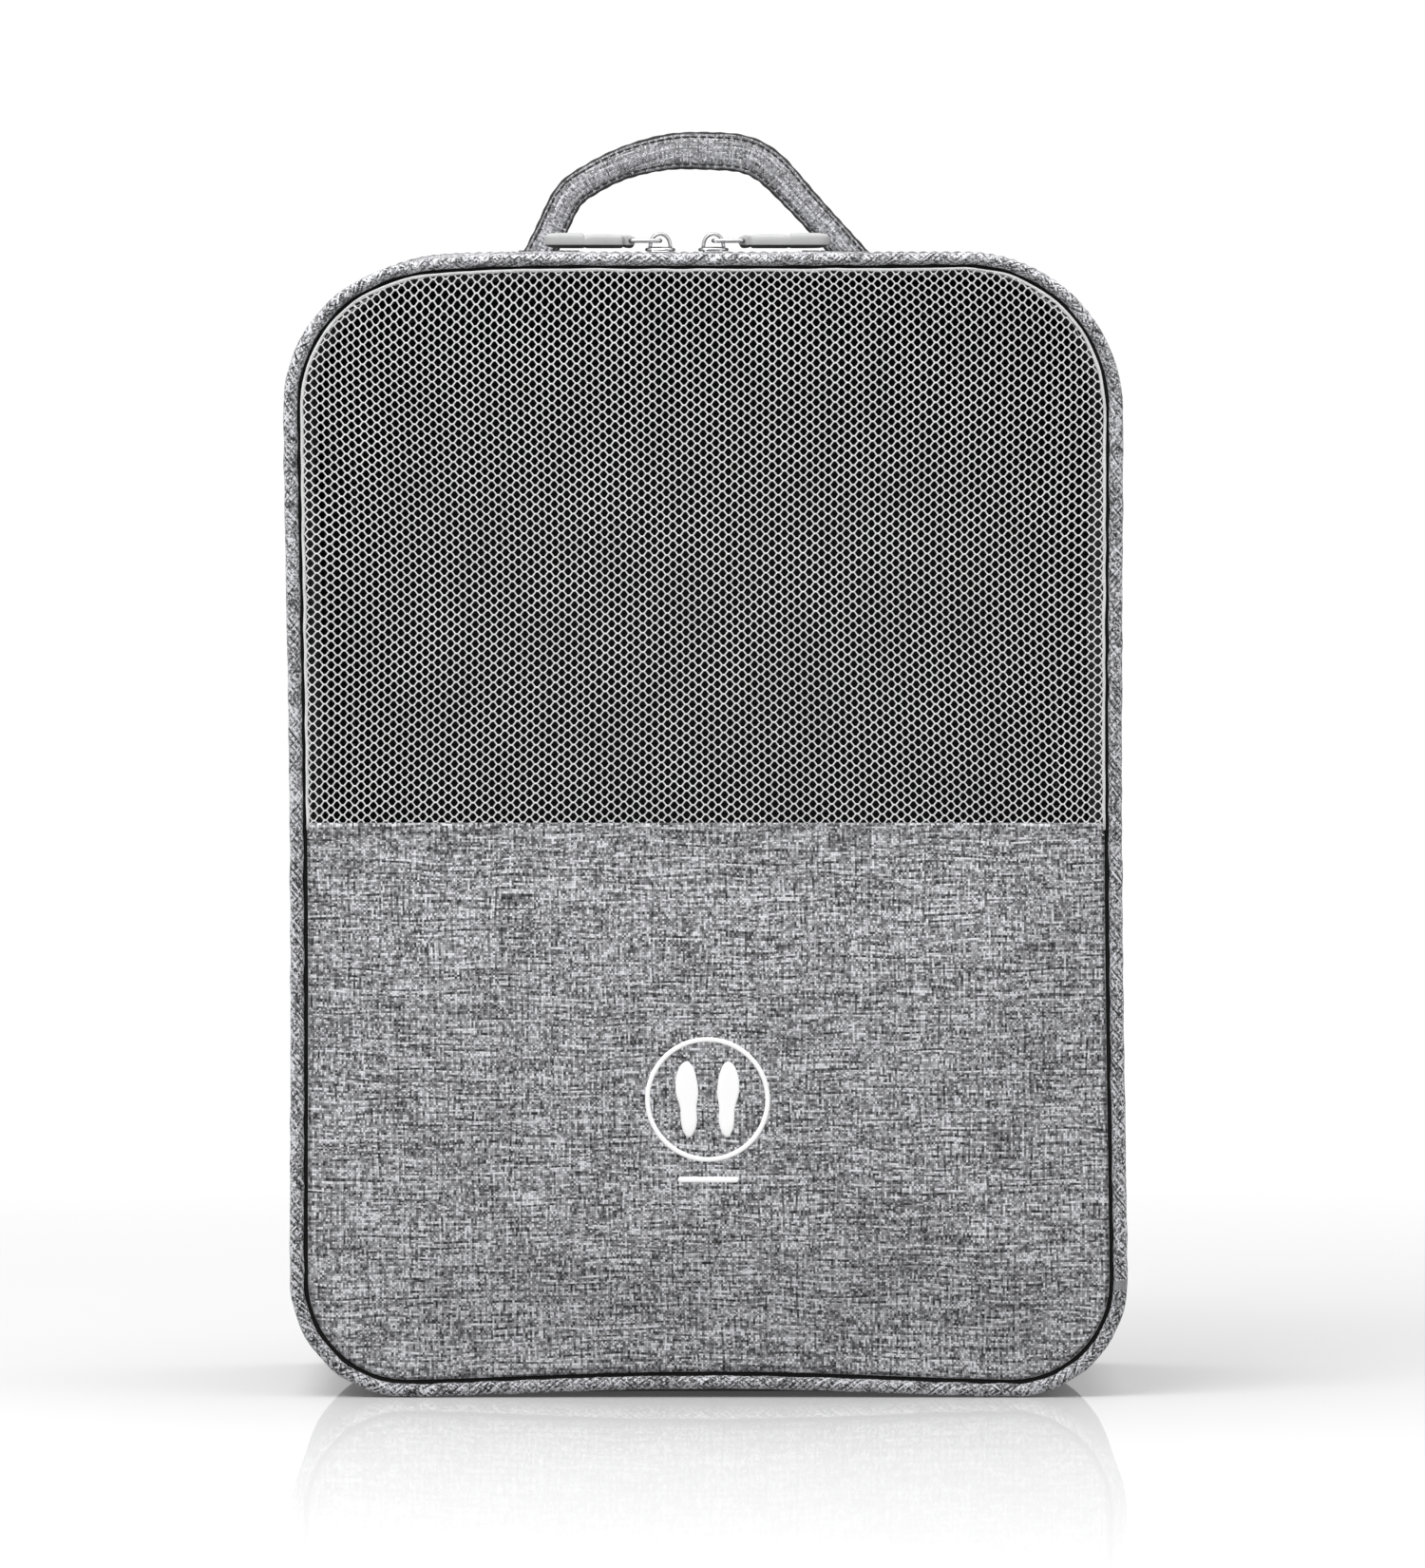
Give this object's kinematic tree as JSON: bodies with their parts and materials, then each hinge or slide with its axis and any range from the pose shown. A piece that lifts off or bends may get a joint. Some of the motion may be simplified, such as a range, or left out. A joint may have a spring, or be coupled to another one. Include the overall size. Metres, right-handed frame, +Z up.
{
  "type": "shoe bag",
  "caption": "Padded travel shoe bag with a mesh-windowed front flap, piped edges, a zip with pulls, a carrying handle and an inner divider.",
  "frame": {"origin": "on the floor, at the middle of the bag's width and depth", "axes": "+Z up, front face towards -Y, +X to the right when looking at the front"},
  "size_m": [0.235, 0.135, 0.3544],
  "materials": {
    "heather_fabric": "woven heather grey",
    "piping_fabric": "bias-cut heather over cord",
    "mesh_knit": "open hexagonal knit",
    "foam": "soft open-cell padding",
    "lining_fabric": "dark plain weave",
    "binding_tape": "ribbed tape",
    "zip_tape": "woven tape",
    "zip_coil": "moulded coil",
    "slider_metal": "bright plated zinc",
    "pull_rubber": "soft matte moulding",
    "stiffener_board": "thin sheet",
    "white_print": "raised transfer print",
    "label_satin": "satin ribbon",
    "hook_tape": "hook tape"
  },
  "bodies": {
    "bag_body": {"rear_piping": "piping_fabric", "back_panel": "heather_fabric", "back_foam": "foam", "back_lining": "lining_fabric", "rear_seam_binding": "binding_tape", "side_gusset": "heather_fabric", "side_foam": "foam", "side_lining": "lining_fabric", "zip_tape_rear": "zip_tape", "zip_coil_rear": "zip_coil", "bottom_gusset": "heather_fabric", "bottom_lining": "lining_fabric", "bottom_board": "stiffener_board", "divider_hook_strip": "hook_tape", "zip_end_left": "slider_metal", "zip_end_right": "slider_metal", "handle_anchor_left": "heather_fabric", "handle_anchor_right": "heather_fabric", "care_label": "label_satin"},
    "front_flap": {"front_piping": "piping_fabric", "front_lower_panel": "heather_fabric", "front_lower_foam": "foam", "front_lower_lining": "lining_fabric", "mesh_window": "mesh_knit", "front_rim": "heather_fabric", "front_rim_lining": "lining_fabric", "front_seam_binding": "binding_tape", "zip_tape_front": "zip_tape", "zip_coil_front": "zip_coil", "window_hem_tape": "binding_tape", "badge_print": "white_print"},
    "handle": {"handle_strap": "heather_fabric"},
    "divider": {"divider_board": "stiffener_board", "divider_front_cover": "lining_fabric", "divider_rear_cover": "lining_fabric", "divider_binding": "binding_tape"},
    "slider_left": {"zip_slider_left": "slider_metal"},
    "link_left": {"pull_link_left": "slider_metal"},
    "tab_left": {"pull_tab_left": "pull_rubber"},
    "slider_right": {"zip_slider_right": "slider_metal"},
    "link_right": {"pull_link_right": "slider_metal"},
    "tab_right": {"pull_tab_right": "pull_rubber"}
  },
  "joints": [
    {"name": "front_flap_open", "type": "hinge", "parent": "bag_body", "child": "front_flap", "pos_m": [0, -0.0675, 0], "axis": [1, 0, 0], "range_deg": [0, 90]},
    {"name": "handle_swing", "type": "hinge", "parent": "bag_body", "child": "handle", "pos_m": [0, 0, 0.3248], "axis": [1, 0, 0], "range_deg": [-80, 80]},
    {"name": "divider_tilt", "type": "hinge", "parent": "bag_body", "child": "divider", "pos_m": [0, 0.005, 0.0106], "axis": [1, 0, 0], "range_deg": [-10, 11]},
    {"name": "slider_left_slide", "type": "slide", "parent": "bag_body", "child": "slider_left", "axis": [-1, 0, 0], "range_m": [0, 0.055]},
    {"name": "pull_left_flip", "type": "hinge", "parent": "slider_left", "child": "link_left", "pos_m": [-0.0127, -0.046, 0.3243], "axis": [0, 1, 0], "range_deg": [0, 100]},
    {"name": "tab_left_swing", "type": "hinge", "parent": "link_left", "child": "tab_left", "pos_m": [-0.02105, -0.046, 0.3243], "axis": [0, 1, 0], "range_deg": [0, 60]},
    {"name": "slider_right_slide", "type": "slide", "parent": "bag_body", "child": "slider_right", "axis": [1, 0, 0], "range_m": [0, 0.065]},
    {"name": "pull_right_flip", "type": "hinge", "parent": "slider_right", "child": "link_right", "pos_m": [0.00225, -0.046, 0.3243], "axis": [0, -1, 0], "range_deg": [0, 100]},
    {"name": "tab_right_swing", "type": "hinge", "parent": "link_right", "child": "tab_right", "pos_m": [0.0106, -0.046, 0.3243], "axis": [0, -1, 0], "range_deg": [0, 60]}
  ]
}
